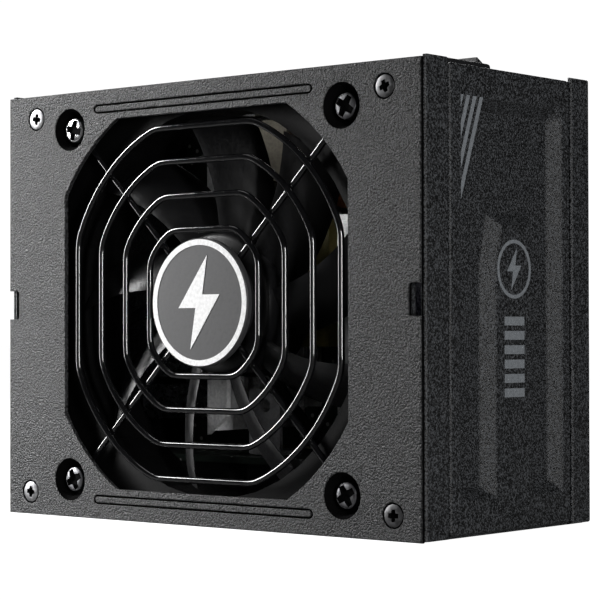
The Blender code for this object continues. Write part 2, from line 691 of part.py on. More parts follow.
def make_motor():
    """Shaft, bearing, stator ring and magnet ring inside the hub."""
    hub_floor = HUB_FRONT + 0.0016
    axis = MID_HEIGHT
    shaft = cones("fan_shaft", [((0, at_depth(hub_floor + GAP), axis), (0, at_depth(0.0178), axis),
                                 SHAFT_RADIUS, SHAFT_RADIUS, 12)])
    finish(shaft, (0.6, 0.6, 0.62), 0.25, 1.0, 40)
    magnet = plate("magnet_ring", [circle(HUB_RADIUS - 0.0017, 28, (0, axis)),
                                   circle(HUB_RADIUS - 0.0030, 28, (0, axis))], "XZ",
                   (0, at_depth(0.0118), 0), 0.0070)
    finish(magnet, (0.05, 0.05, 0.055), 0.5, 0.6, 40)
    stator = plate("stator", [circle(0.0118, 24, (0, axis)), circle(0.0034, 16, (0, axis))], "XZ",
                   (0, at_depth(0.0122), 0), 0.0060)
    finish(stator, (0.45, 0.22, 0.08), 0.4, 0.8, 40)
    bearing = plate("fan_bearing", [circle(0.0030, 16, (0, axis)), circle(SHAFT_RADIUS + GAP, 12, (0, axis))],
                    "XZ", (0, at_depth(0.0142), 0), 0.0090)
    finish(bearing, (0.55, 0.42, 0.18), 0.35, 0.9, 40)


# ---- mains inlet and switch ----
def make_inlet():
    """Mains inlet: flange over the panel, housing below it, plug cavity and three flat pins."""
    x, y = INLET_X, at_depth(INLET_DEPTH)
    flange_low = PANEL_TOP + GAP
    flange = plate("inlet_body", [round_rectangle(INLET_FLANGE, 0.002, 3, (x, y))], "XY",
                   (0, 0, (flange_low + INLET_TOP) / 2), INLET_TOP - flange_low)
    housing_top = INLET_TOP - 0.0005
    housing = plate("inlet_housing", [round_rectangle(INLET_BODY, 0.002, 2, (x, y))], "XY",
                    (0, 0, (INLET_BOTTOM + housing_top) / 2), housing_top - INLET_BOTTOM, True)
    modify(flange, "UNION", housing)
    half_w, half_d, slant = 0.0121, 0.0079, 0.0035
    cavity = [(x - half_w, y - half_d), (x + half_w, y - half_d),
              (x + half_w, y + half_d - slant), (x + half_w - slant, y + half_d),
              (x - half_w + slant, y + half_d), (x - half_w, y + half_d - slant)]
    cavity_cut = plate("inlet_cavity", [cavity], "XY", (0, 0, (INLET_CAVITY_BOTTOM + INLET_TOP + 0.001) / 2),
                       INLET_TOP + 0.001 - INLET_CAVITY_BOTTOM, True)
    modify(flange, "DIFFERENCE", cavity_cut)
    pin_places = [("earth", 0, 0.0020), ("live", 0.0070, -0.0020), ("neutral", -0.0070, -0.0020)]
    slots = []
    for kind, shift_x, shift_y in pin_places:
        low = (x + shift_x - 0.0010, y + shift_y - 0.0020)
        high = (x + shift_x + 0.0010, y + shift_y + 0.0020)
        pin = boxes("inlet_pin_" + kind, [((*low, INLET_BOTTOM - 0.004), (*high, PIN_TOP))])
        finish(pin, (0.75, 0.74, 0.70), 0.25, 1.0)
        slots.append(((low[0] - GAP, low[1] - GAP, INLET_BOTTOM - 0.001),
                      (high[0] + GAP, high[1] + GAP, INLET_CAVITY_BOTTOM + 0.001)))
    modify(flange, "DIFFERENCE", boxes("inlet_pin_slots", slots, True))
    finish(flange, (0.018, 0.018, 0.019), 0.45)


def make_switch():
    """Rocker switch: bezel and housing, and the rocker whose origin is on its hinge axis."""
    x, y = SWITCH_X, at_depth(SWITCH_DEPTH)
    bezel_low = PANEL_TOP + GAP
    bezel = plate("switch_body", [round_rectangle(SWITCH_BEZEL, 0.001, 2, (x, y))], "XY",
                  (0, 0, (bezel_low + SWITCH_TOP) / 2), SWITCH_TOP - bezel_low)
    half_x, half_y = SWITCH_BODY[0] / 2, SWITCH_BODY[1] / 2
    body = ((x - half_x, y - half_y, SWITCH_BOTTOM), (x + half_x, y + half_y, SWITCH_TOP - 0.0005))
    housing = boxes("switch_housing", [body], True)
    modify(bezel, "UNION", housing)
    well = boxes("switch_well", [((x - 0.0036, y - 0.0061, SWITCH_BOTTOM + 0.004),
                                  (x + 0.0036, y + 0.0061, SWITCH_TOP + 0.001))], True)
    modify(bezel, "DIFFERENCE", well)
    finish(bezel, (0.018, 0.018, 0.019), 0.4)
    profile = [(-0.0052, -0.0020), (0.0, -0.0032), (0.0052, -0.0020), (0.0056, 0.0036), (0.0, 0.0020),
               (-0.0056, 0.0036)]
    rocker = plate("switch_rocker", [profile], "YZ", (0, 0, 0), 0.0066)
    tilt = Matrix.Rotation(math.radians(-ROCKER_TILT), 4, "X")
    rocker.matrix_world = Matrix.Translation((x, y, ROCKER_AXIS_HEIGHT)) @ tilt @ PLANES["YZ"]
    finish(rocker, (0.02, 0.02, 0.021), 0.35)


# ---- inside ----
def make_sockets():
    """Output sockets: blocks with two rows of square contact chambers, flush with the panel."""
    for name, columns, x, depth in SOCKETS:
        size = socket_size(columns)
        y = at_depth(depth)
        low = (x - size[0] / 2, y - size[1] / 2, SOCKET_LOW)
        socket = boxes(name, [(low, (x + size[0] / 2, y + size[1] / 2, SOCKET_HIGH))])
        cells = []
        for column in range(columns):
            for row in (-1, 1):
                cell_x = x + (column - (columns - 1) / 2) * SOCKET_PITCH
                cell_y = y + row * SOCKET_PITCH / 2
                cells.append(((cell_x - 0.0016, cell_y - 0.0016, SOCKET_LOW - 0.001),
                              (cell_x + 0.0016, cell_y + 0.0016, SOCKET_LOW + 0.007)))
        modify(socket, "DIFFERENCE", boxes(name + "_cells", cells, True))
        finish(socket, (0.015, 0.015, 0.016), 0.5)


def make_boards():
    """Main board on its insulator sheet, and the board that carries the output sockets."""
    sheet = boxes("insulator_sheet", [((-0.0590, at_depth(0.0612), 0.0030),
                                       (0.0590, at_depth(0.0616), 0.0960))])
    finish(sheet, (0.75, 0.72, 0.62), 0.4)
    board = boxes("main_board", [((-0.0585, at_depth(0.0585), 0.0150),
                                  (0.0585, at_depth(0.0601), 0.0950))])
    finish(board, (0.015, 0.020, 0.017), 0.4)
    sockets_board = boxes("socket_board", [((-0.0570, at_depth(0.0215), SOCKET_HIGH + GAP),
                                            (0.0570, at_depth(0.0580), SOCKET_HIGH + GAP + 0.0016))])
    finish(sockets_board, (0.015, 0.020, 0.017), 0.4)


def make_heatsink(name, x, low, high, fins):
    """Upright aluminium plate on the main board, with a front flange and fins behind it."""
    left, right = x - 0.0012, x + 0.0050
    outline = [(left, low), (right, low + 0.0045), (right, high), (left, high)]
    sink = plate(name, [outline], "XZ", (0, at_depth(SINK_FRONT + SINK_SHEET / 2), 0), SINK_SHEET)
    web = ((left + OVERLAP, at_depth(SINK_FRONT + 0.0010), low + 0.0010),
           (x + 0.0012, at_depth(PARTS_END), high - OVERLAP))
    modify(sink, "UNION", boxes(name + "_web", [web], True))
    bars = []
    for number in range(fins):
        depth = SINK_FRONT + 0.0040 + number * FIN_PITCH
        bars.append(((x + 0.0010, at_depth(depth), low + 0.0060),
                     (x + FIN_REACH, at_depth(depth + SINK_SHEET), high - 0.0010)))
    modify(sink, "UNION", boxes(name + "_fins", bars, True))
    finish(sink, (0.70, 0.71, 0.73), 0.35, 1.0)


def make_bracket():
    """Steel bracket that holds the socket board upright, with a hole in its upright leaf."""
    leaf = rectangle((-0.0080, 0.0150), (0.0015, 0.0300))
    hole = circle(0.0016, 12, (-0.0030, 0.0262))
    bracket = plate("board_bracket", [leaf, hole], "XZ", (0, at_depth(0.0267), 0), SHEET)
    foot = ((-0.0079, at_depth(0.0265), 0.0147), (0.0014, at_depth(0.0340), 0.0155))
    modify(bracket, "UNION", boxes("bracket_foot", [foot], True))
    finish(bracket, (0.5, 0.5, 0.52), 0.4, 1.0)


def make_power_parts():
    """Capacitors, transformer, choke and heatsinks on the main board."""
    x, depth, radius = BULK_CAN
    bulk = cones("bulk_capacitor", [((x, at_depth(depth), 0.0330), (x, at_depth(depth), 0.0740),
                                     radius, radius, 28)])
    finish(bulk, (0.02, 0.02, 0.03), 0.35, 0.0, 40)
    x, front, radius = SMALL_CAN
    for number in range(3):
        z = 0.0260 + number * 0.0105
        can = cones(f"output_capacitor_{number + 1}",
                    [((x, at_depth(PARTS_END), z), (x, at_depth(front), z), radius, radius, 18)])
        finish(can, (0.55, 0.56, 0.60), 0.3, 0.8, 40)
    core = boxes("transformer", [((-0.0105, at_depth(0.0290), 0.0400),
                                  (0.0140, at_depth(PARTS_END), 0.0700))])
    finish(core, (0.45, 0.36, 0.10), 0.5)
    rings = [circle(radius, sides, CHOKE_PLACE) for radius, sides in ((0.0105, 24), (0.0042, 16))]
    choke = plate("filter_choke", rings, "XZ", (0, at_depth(0.0500), 0), 0.0150)
    finish(choke, (0.40, 0.18, 0.06), 0.4, 0.6, 40)
    film = boxes("film_capacitor", [((-0.0116, at_depth(0.0340), 0.0795),
                                     (-0.0030, at_depth(PARTS_END), 0.0940))])
    finish(film, (0.62, 0.56, 0.42), 0.5)
    make_heatsink("primary_heatsink", 0.0210, 0.0240, 0.0700, 6)
    make_heatsink("secondary_heatsink", -0.0190, 0.0190, 0.0830, 6)
    make_bracket()


def build():
    """Make every part."""
    start_scene()
    make_fan_cover()
    make_shell_frame()
    make_mains_panel()
    make_output_panel()
    make_side_cover("side_cover_right", 1)
    make_side_cover("side_cover_left", -1)
    make_back_cover()
    make_screws()
    make_grille()
    make_badge()
    make_fan_frame()
    make_rotor()
    make_motor()
    make_inlet()
    make_switch()
    make_sockets()
    make_boards()
    make_power_parts()


build()
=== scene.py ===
"""Looks of a compact modular computer power supply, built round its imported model."""
import json
import math

import bmesh
import bpy
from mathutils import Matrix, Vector


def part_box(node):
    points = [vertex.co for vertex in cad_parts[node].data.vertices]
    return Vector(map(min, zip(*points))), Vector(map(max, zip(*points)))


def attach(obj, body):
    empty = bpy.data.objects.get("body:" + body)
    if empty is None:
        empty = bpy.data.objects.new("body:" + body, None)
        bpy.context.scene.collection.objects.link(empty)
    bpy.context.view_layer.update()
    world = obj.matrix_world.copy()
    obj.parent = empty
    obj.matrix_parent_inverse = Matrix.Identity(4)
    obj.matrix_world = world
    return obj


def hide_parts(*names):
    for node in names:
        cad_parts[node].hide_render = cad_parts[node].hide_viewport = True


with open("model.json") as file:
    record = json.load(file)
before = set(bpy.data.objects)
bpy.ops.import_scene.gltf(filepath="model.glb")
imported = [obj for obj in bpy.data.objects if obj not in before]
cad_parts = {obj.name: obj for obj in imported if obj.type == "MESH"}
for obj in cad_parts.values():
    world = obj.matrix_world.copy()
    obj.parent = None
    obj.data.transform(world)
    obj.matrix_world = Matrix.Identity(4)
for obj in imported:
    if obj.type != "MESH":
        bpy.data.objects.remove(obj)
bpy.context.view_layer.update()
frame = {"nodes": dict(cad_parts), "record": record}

NODES = frame["nodes"]
SCENE = bpy.context.scene

# ---- places read from the model ----
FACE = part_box("fan_cover")[0].y
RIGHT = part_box("side_cover_right")[1].x
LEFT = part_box("side_cover_left")[0].x
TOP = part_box("fan_cover")[1].z
MIDDLE = TOP / 2
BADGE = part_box("grille_badge")
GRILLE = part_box("fan_grille")
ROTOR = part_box("fan_rotor")
SIDES = (("right", RIGHT), ("left", LEFT))

# ---- sizes that repeat the model's, in metres ----
EMBOSS_DEPTH = 0.0026
WELL_REACH = 0.0062  # a circle round a screw that holds its whole well
GROOVE_OFFSET = 0.0455
GROOVE_REACH = (0.0360, 0.0018)  # half of the area that holds one groove
SIDE_SEAMS = ((0.0078, 0.0112), (0.0538, 0.0606))  # depths that cover the upright gaps
SEAM_HEIGHTS = (0.0030, 0.0970)


# ---- node helpers ----
def new_material(name):
    """A fresh material with its node tree, shader and a node maker."""
    made = bpy.data.materials.new(name)
    made.use_nodes = True
    tree = made.node_tree
    return made, tree, tree.nodes["Principled BSDF"]


def add_node(tree, kind, **settings):
    """A shader node with its settings."""
    node = tree.nodes.new(kind)
    for key, value in settings.items():
        setattr(node, key, value)
    return node


def noise(tree, scale, detail=2.0, roughness=0.5, stretch=None):
    """Noise over the object's own coordinates."""
    place = add_node(tree, "ShaderNodeTexCoord")
    texture = add_node(tree, "ShaderNodeTexNoise")
    texture.inputs["Scale"].default_value = scale
    texture.inputs["Detail"].default_value = detail
    texture.inputs["Roughness"].default_value = roughness
    source = place.outputs["Object"]
    if stretch:
        mapping = add_node(tree, "ShaderNodeMapping")
        mapping.inputs["Scale"].default_value = stretch
        tree.links.new(source, mapping.inputs["Vector"])
        source = mapping.outputs["Vector"]
    tree.links.new(source, texture.inputs["Vector"])
    return texture.outputs["Fac"]


def ramp(tree, value, stops):
    """Map a value onto colours."""
    node = add_node(tree, "ShaderNodeValToRGB")
    points = node.color_ramp.elements
    while len(points) < len(stops):
        points.new(0.5)
    for point, (position, color) in zip(points, stops):
        point.position = position
        point.color = (*color, 1)
    tree.links.new(value, node.inputs["Fac"])
    return node.outputs["Color"]


def bump(tree, shader, height, distance, strength=1.0):
    """Relief on a shader."""
    node = add_node(tree, "ShaderNodeBump")
    node.inputs["Distance"].default_value = distance
    node.inputs["Strength"].default_value = strength
    tree.links.new(height, node.inputs["Height"])
    tree.links.new(node.outputs["Normal"], shader.inputs["Normal"])


def rough_between(tree, shader, value, low, high):
    """Roughness that follows a value."""
    node = add_node(tree, "ShaderNodeMapRange")
    node.inputs["From Min"].default_value = 0.35
    node.inputs["From Max"].default_value = 0.65
    node.inputs["To Min"].default_value = low
    node.inputs["To Max"].default_value = high
    tree.links.new(value, node.inputs["Value"])
    tree.links.new(node.outputs["Result"], shader.inputs["Roughness"])


def set_input(material, name, value):
    """Set one plain value on a material's shader."""
    material.node_tree.nodes["Principled BSDF"].inputs[name].default_value = value


def scaled(color, factor):
    """A colour made lighter or darker."""
    return tuple(min(1.0, part * factor) for part in color)


# ---- materials ----
def powder_coat(name, color, grain=2200, relief=0.00055, roughness=(0.32, 0.60)):
    """Textured powder coat: pebbled relief, with a colour that runs from fine dark pits to light specks:
    partly random tone, partly painted shade in the pits and painted glints on the specks.
    """
    made, tree, shader = new_material(name)
    fine = noise(tree, grain, 2.0, 0.6)
    # dark pits and light specks in the colour: painted shade and painted glints of the pebbled relief,
    # over its random tone
    stops = [(0.40, scaled(color, 0.10)), (0.5, scaled(color, 0.7)), (0.60, scaled(color, 4.2))]
    tree.links.new(ramp(tree, fine, stops), shader.inputs["Base Color"])
    rough_between(tree, shader, fine, *roughness)
    bump(tree, shader, fine, relief)
    shader.inputs["Specular IOR Level"].default_value = 0.5
    return made


def moulded(name, color, roughness=0.45, grain=1500, relief=0.00002):
    """Moulded plastic with a faint grain."""
    made, tree, shader = new_material(name)
    fine = noise(tree, grain, 2.0)
    tree.links.new(ramp(tree, fine, [(0.3, scaled(color, 0.85)), (0.7, scaled(color, 1.2))]),
                   shader.inputs["Base Color"])
    rough_between(tree, shader, fine, roughness - 0.06, roughness + 0.08)
    bump(tree, shader, fine, relief)
    return made


def metal(name, color, roughness=0.3, stretch=(1, 1, 1), grain=900, relief=0.00001):
    """Bare or plated metal with directional brushing."""
    made, tree, shader = new_material(name)
    fine = noise(tree, grain, 3.0, 0.6, stretch)
    tree.links.new(ramp(tree, fine, [(0.3, scaled(color, 0.8)), (0.7, scaled(color, 1.15))]),
                   shader.inputs["Base Color"])
    rough_between(tree, shader, fine, roughness - 0.08, roughness + 0.12)
    shader.inputs["Metallic"].default_value = 1.0
    bump(tree, shader, fine, relief)
    return made


def lacquer(name, color, roughness=0.2):
    """Glossy dark plating on wire."""
    made, tree, shader = new_material(name)
    fine = noise(tree, 700, 2.0)
    tree.links.new(ramp(tree, fine, [(0.35, scaled(color, 0.8)), (0.65, scaled(color, 1.3))]),
                   shader.inputs["Base Color"])
    rough_between(tree, shader, fine, roughness, roughness + 0.06)
    shader.inputs["Specular IOR Level"].default_value = 0.9
    bump(tree, shader, fine, 0.00001)
    return made


def circuit_board(name):
    """Dark solder mask with small solder dots."""
    made, tree, shader = new_material(name)
    place = add_node(tree, "ShaderNodeTexCoord")
    cells = add_node(tree, "ShaderNodeTexVoronoi")
    cells.inputs["Scale"].default_value = 330
    tree.links.new(place.outputs["Object"], cells.inputs["Vector"])
    stops = [(0.16, (0.35, 0.35, 0.34)), (0.20, (0.012, 0.017, 0.014)), (0.6, (0.018, 0.024, 0.020))]
    tree.links.new(ramp(tree, cells.outputs["Distance"], stops), shader.inputs["Base Color"])
    rough_between(tree, shader, noise(tree, 240, 1.0), 0.3, 0.45)
    return made


PAINT = powder_coat("black_powder_coat", (0.013, 0.0133, 0.014))
PAINT_SIDE = powder_coat("black_powder_coat_side", (0.018, 0.019, 0.0205), 2600, 0.00028)
# near-black coat that paints shade into the screw wells, grooves, notches, cover side edges, seam gaps and
# driver crosses
PAINTED_SHADE = moulded("painted_shade_coat", (0.0015, 0.0015, 0.0016), 0.9, 1900, 0.0001)
WIRE = lacquer("wire_plating", (0.004, 0.004, 0.0045), 0.05)
# the fan's plastics are darker than plain black plastic: their own black plus painted shade of the dim
# inside of the case
FAN_BLACK_SHADED = moulded("fan_plastic_black_and_shade", (0.005, 0.005, 0.0055), 0.42)
FRAME_BLACK_SHADED = moulded("fan_frame_black_and_shade", (0.002, 0.002, 0.0022), 0.6)
HUB_GREY = moulded("fan_hub_label", (0.022, 0.022, 0.024), 0.5)
INLET_BLACK = moulded("inlet_plastic_black", (0.012, 0.012, 0.013), 0.4)
BADGE_GREY = moulded("badge_face_grey", (0.040, 0.040, 0.042), 0.5, 1200)
PRINT_WHITE = moulded("badge_print_white", (0.93, 0.93, 0.93), 0.55, 1400, 0.000005)
PRINT_GREY = moulded("side_print_grey", (0.20, 0.215, 0.23), 0.5, 1600, 0.00001)
DARK_STEEL = metal("screw_black_steel", (0.20, 0.20, 0.21), 0.38, (1, 6, 1))
CASE_STEEL = [metal(f"screw_plating_{number}", (tone, tone, tone * 1.03), 0.42, (1, 6, 1))
              for number, tone in enumerate((0.26, 0.14, 0.22, 0.12), 1)]
BRIGHT_STEEL = metal("screw_bright_steel", (0.80, 0.80, 0.82), 0.25, (1, 6, 1))
ALUMINIUM = metal("rough_aluminium", (0.92, 0.92, 0.93), 0.55, (1, 1, 1), 1300, 0.0003)
CAN = metal("capacitor_can", (0.62, 0.63, 0.66), 0.28)
COPPER = metal("enamelled_copper", (0.24, 0.09, 0.035), 0.35)
NICKEL = metal("nickel_contact", (0.78, 0.76, 0.70), 0.22)
BRONZE = metal("sintered_bronze", (0.50, 0.36, 0.15), 0.45)
SHAFT = metal("ground_steel", (0.62, 0.62, 0.64), 0.2)
MAGNET = moulded("bonded_magnet", (0.03, 0.03, 0.032), 0.6)
BOARD = circuit_board("solder_mask")
FILM = moulded("insulator_film", (0.62, 0.58, 0.46), 0.35)
SLEEVE = moulded("capacitor_sleeve", (0.012, 0.012, 0.02), 0.3)
TAPE = moulded("transformer_tape", (0.12, 0.10, 0.03), 0.45)
FILM_CASE = moulded("film_capacitor_case", (0.20, 0.18, 0.14), 0.5)
BRACKET = metal("bracket_steel", (0.62, 0.62, 0.64), 0.5, (1, 1, 1), 1300, 0.0002)
PUTTY = moulded("balance_putty", (0.22, 0.23, 0.24), 0.6)
SHINE = [(PAINTED_SHADE, 0.05), (FAN_BLACK_SHADED, 0.30), (FRAME_BLACK_SHADED, 0.12), (TAPE, 0.20), (FILM_CASE, 0.20)]
for dull, level in SHINE:
    set_input(dull, "Specular IOR Level", level)
for oxidised in (ALUMINIUM, BRACKET):
    set_input(oxidised, "Metallic", 0.35)


# ---- mesh helpers ----
def link(name, bm, material, body="case", smooth=35, replaces=()):
    """Finish a bmesh as a piece that rides on a body."""
    mesh = bpy.data.meshes.new(name)
    bm.to_mesh(mesh)
    bm.free()
    piece = bpy.data.objects.new(name, mesh)
    SCENE.collection.objects.link(piece)
    mesh.materials.append(material)
    mesh.shade_smooth()
    mesh.set_sharp_from_angle(angle=math.radians(smooth))
    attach(piece, body)
    if replaces:
        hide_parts(*replaces)
    return piece


def even_normals(piece):
    """Keep large flat faces evenly shaded beside rounded edges."""
    step = piece.modifiers.new("even normals", "WEIGHTED_NORMAL")
    step.keep_sharp = True


def welded(node):
    """A CAD node's shape as a bmesh with shared points and whole flat faces."""
    bm = bmesh.new()
    bm.from_mesh(NODES[node].data)
    bmesh.ops.remove_doubles(bm, verts=bm.verts, dist=2e-6)
    bmesh.ops.dissolve_limit(bm, angle_limit=math.radians(1), verts=bm.verts, edges=bm.edges)
    return bm


def edge_angle(edge):
    """Angle between the two faces at an edge, in degrees."""
    return math.degrees(edge.calc_face_angle(0))


def rounded(node, rules, material, smooth=50):
    """A CAD node's shape with chosen edges rounded. Each rule is (test, width, segments)."""
    bm = welded(node)
    for test, width, segments in rules:
        edges = [edge for edge in bm.edges
                 if len(edge.link_faces) == 2 and edge_angle(edge) > 25 and test(edge)]
        bmesh.ops.bevel(bm, geom=edges, offset=width, segments=segments, profile=0.5, affect="EDGES",
                        clamp_overlap=True)
    bmesh.ops.remove_doubles(bm, verts=bm.verts, dist=1e-6)
    piece = link(node + "_finish", bm, material, body_of(node), smooth, (node,))
    even_normals(piece)
    return piece


def body_of(node):
    """The body a CAD node belongs to."""
    for body, members in frame["record"]["behaviour"]["bodies"].items():
        if node in members:
            return body
    return "case"


def plate(bm, outline, place, depth):
    """Add a flat outline in the fan plane, given a thickness backwards. Points are (x, z)."""
    front = [bm.verts.new((x, place, z)) for x, z in outline]
    back = [bm.verts.new((x, place + depth, z)) for x, z in outline]
    bm.faces.new(front)
    bm.faces.new(list(reversed(back)))
    for index in range(len(outline)):
        after = (index + 1) % len(outline)
        bm.faces.new((front[index], back[index], back[after], front[after]))


def side_plate(bm, outline, level, side, proud=0.00004):
    """Add a thin upright plate facing along X. Points are (depth behind the fan face, height)."""
    outer = [bm.verts.new((level + side * proud, FACE + depth, z)) for depth, z in outline]
    inner = [bm.verts.new((level - side * proud, FACE + depth, z)) for depth, z in outline]
    bm.faces.new(outer)
    bm.faces.new(list(reversed(inner)))
    for index in range(len(outline)):
        after = (index + 1) % len(outline)
        bm.faces.new((outer[index], inner[index], inner[after], outer[after]))


def lathe(bm, profile, centre, sides=64):
    """Turn (radius, y) points about the Y axis through a centre in X and Z."""
    rings = []
    for radius, y in profile:
        if radius < 1e-7:
            rings.append([bm.verts.new((centre[0], y, centre[1]))])
            continue
        ring = []
        for index in range(sides):
            angle = math.tau * index / sides
            ring.append(bm.verts.new((centre[0] + radius * math.cos(angle), y,
                                      centre[1] + radius * math.sin(angle))))
        rings.append(ring)
    for first, second in zip(rings, rings[1:]):
        for index in range(sides):
            after = (index + 1) % sides
            corners = [first[index % len(first)], first[after % len(first)],
                       second[after % len(second)], second[index % len(second)]]
            distinct = list(dict.fromkeys(corners))
            if len(distinct) > 2:
                bm.faces.new(distinct)


def tube(bm, points, radius, closed=False, sides=12):
    """Sweep a circle along points."""
    count = len(points)
    points = [Vector(point) for point in points]
    rings = []
    for index, point in enumerate(points):
        before = points[index - 1] if closed or index else point
        after = points[(index + 1) % count] if closed or index < count - 1 else point
        along = (after - before).normalized()
        side = along.cross(Vector((0, 1, 0)))
        if side.length < 0.01:
            side = along.cross(Vector((1, 0, 0)))
        side.normalize()
        lift = side.cross(along)
        ring = []
        for step in range(sides):
            angle = math.tau * step / sides
            ring.append(bm.verts.new(point + radius * (math.cos(angle) * side + math.sin(angle) * lift)))
        rings.append(ring)
    pairs = list(zip(rings, rings[1:]))
    if closed:
        pairs.append((rings[-1], rings[0]))
    for first, second in pairs:
        for step in range(sides):
            after = (step + 1) % sides
            bm.faces.new((first[step], first[after], second[after], second[step]))
    if not closed:
        bm.faces.new(list(reversed(rings[0])))
        bm.faces.new(rings[-1])


def arc(radius, start, end, steps, centre=(0, 0)):
    """Points on an arc, in degrees, both ends included."""
    points = []
    for index in range(steps + 1):
        angle = math.radians(start + (end - start) * index / steps)
        points.append((centre[0] + radius * math.cos(angle), centre[1] + radius * math.sin(angle)))
    return points


def finish_normals(bm):
    """Point every face outwards."""
    bmesh.ops.recalc_face_normals(bm, faces=bm.faces)


# ---- case ----
def at_level(axis, level, reach=1e-5):
    """Test for edges whose two ends lie on a plane."""
    return lambda edge: all(abs(vert.co[axis] - level) < reach for vert in edge.verts)


def between_levels(outer, floor, reach=1e-5):
    """Test for edges whose ends lie on either of two planes across X."""
    return lambda edge: all(min(abs(vert.co.x - outer), abs(vert.co.x - floor)) < reach
                            for vert in edge.verts)


def screw_place(node):
    """Middle of a screw as (x, z)."""
    low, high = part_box(node)
    return (low.x + high.x) / 2, (low.z + high.z) / 2


def in_well(x, z, wells):
    """True inside any screw's well."""
    return any(math.dist((x, z), well) < WELL_REACH for well in wells)


def paint_recess_shade(cover, wells):
    """Paint shade with the near-black coat onto the screw wells, the grooves, the notches and the outer
    side edges.
    """
    cover.data.materials.append(PAINTED_SHADE)
    just_below, half_sheet, notch_start = 0.00012, 0.0004, 0.0585
    for face in cover.data.polygons:
        middle = face.center
        depth = middle.y - FACE
        groove = (abs(middle.x) < GROOVE_REACH[0]
                  and abs(abs(middle.z - MIDDLE) - GROOVE_OFFSET) < GROOVE_REACH[1])
        outer_edge = depth > half_sheet and abs(middle.x) > notch_start
        if outer_edge or (depth > just_below and (groove or in_well(middle.x, middle.z, wells))):
            face.material_index = 1


def make_fan_cover():
    """Cover plate with softly dished wells and crisp other edges."""
    wells = [screw_place(node) for node in NODES if "_screw_" in node]
    flat = at_level(1, FACE)

    def on_well(edge):
        return flat(edge) and any(in_well(vert.co.x, vert.co.z, wells) for vert in edge.verts)

    def off_well(edge):
        return flat(edge) and not any(in_well(vert.co.x, vert.co.z, wells) for vert in edge.verts)

    cover = rounded("fan_cover", [(on_well, 0.0005, 4), (off_well, 0.00025, 3)], PAINT)
    # painted shade in the wells, grooves, notches and outer side edges
    paint_recess_shade(cover, wells)


def make_shell():
    """Folded sheets behind the cover, with their folds and embossed edges rounded."""
    front_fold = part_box("shell_frame")[0].y
    rounded("shell_frame", [(at_level(1, front_fold), 0.0005, 5)], PAINT_SIDE)
    for side, level in SIDES:
        floor = level - math.copysign(EMBOSS_DEPTH, level)
        rounded(f"side_cover_{side}", [(between_levels(level, floor), 0.0006, 4)], PAINT_SIDE)
    back = at_level(1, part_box("back_cover")[1].y)

    def on_outer_fold(edge):
        return back(edge) or all(abs(abs(vert.co.x) - RIGHT) < 1e-5 for vert in edge.verts)

    rounded("back_cover", [(on_outer_fold, 0.0005, 4)], PAINT_SIDE)
    for node in ("mains_panel", "output_panel"):
        NODES[node].data.materials[0] = PAINT_SIDE


def make_painted_shade_seams():
    """Near-black sheets behind the upright seams of both sides: painted shade, so that no daylight shows
    through.
    """
    low, high = SEAM_HEIGHTS
    inset, half_thickness = 0.0016, 0.0002
    for side, level in SIDES:
        bm = bmesh.new()
        turn = math.copysign(1, level)
        for start, end in SIDE_SEAMS:
            outline = [(start, low), (end, low), (end, high), (start, high)]
            side_plate(bm, outline, level - turn * inset, turn, half_thickness)
        finish_normals(bm)
        link(f"painted_shade_seam_{side}", bm, PAINTED_SHADE, "case")


def make_inlet_and_switch():
    """Moulded mains inlet, switch bezel and rocker with softened edges."""
    for node, slot, width in (("inlet_body", "inlet_plastic", 0.0007),
                              ("switch_body", "switch_plastic", 0.0004)):
        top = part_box(node)[1].z
        rounded(node, [(at_level(2, top), width, 4)], INLET_BLACK)
    rounded("switch_rocker", [(lambda edge: True, 0.0003, 3)], INLET_BLACK)


# ---- screws ----
# Turns are in degrees. A cross is (arm length, half width of an arm's end, waist between arms), and a
# profile is (radius, depth behind the head's front).
FAN_SCREW_TURNS = [25, -14, 30, -31]
FAN_SCREW_CROSS = (0.0024, 0.0007, 0.00125)
PAN_PROFILE = [(0.0019, 0), (0.0025, 0.0001), (0.00278, 0.0003), (0.00285, 0.0006), (0.00285, 0.0014),
               (0.0018, 0.0014)]
CASE_SCREW_TURNS = [-8, 20, -3, 0]
CASE_SCREW_CROSS = (0.0013, 0.00045, 0.00080)
FLUSH_PROFILE = [(0.00225, 0), (0.0024, 0.0001), (0.0013, 0.0008), (0.0012, 0.0008)]
CROSS_DEPTH = 0.0008
CUTTER_START = 0.001  # how far in front of the head the cutter begins


def cross(long, half_wide, waist, turn, centre):
    """Outline of a driver cross with tapering arms, turned in degrees."""
    points = []
    for arm in range(4):
        for offset in (-half_wide, half_wide):
            lean = math.degrees(math.atan2(offset, long))
            points.append((math.hypot(long, offset), 90 * arm + lean))
        points.append((waist, 90 * arm + 45))
    return [(centre[0] + reach * math.cos(math.radians(angle + turn)),
             centre[1] + reach * math.sin(math.radians(angle + turn))) for reach, angle in points]


def carved(body, cutter, materials):
    """The first bmesh with the second cut out of it. Cut faces take the second material."""
    for face in cutter.faces:
        face.material_index = 1
    pair = []
    for shape in (body, cutter):
        mesh = bpy.data.meshes.new("carving")
        shape.to_mesh(mesh)
        shape.free()
        for material in materials:
            mesh.materials.append(material)
        made = bpy.data.objects.new("carving", mesh)
        SCENE.collection.objects.link(made)
        pair.append(made)
    cut = pair[0].modifiers.new("cut", "BOOLEAN")
    cut.operation = "DIFFERENCE"
    cut.solver = "EXACT"
    cut.object = pair[1]
    bpy.context.view_layer.update()
    result = bmesh.new()
    result.from_mesh(pair[0].evaluated_get(bpy.context.evaluated_depsgraph_get()).to_mesh())
    for made in pair:
        bpy.data.objects.remove(made)
    return result


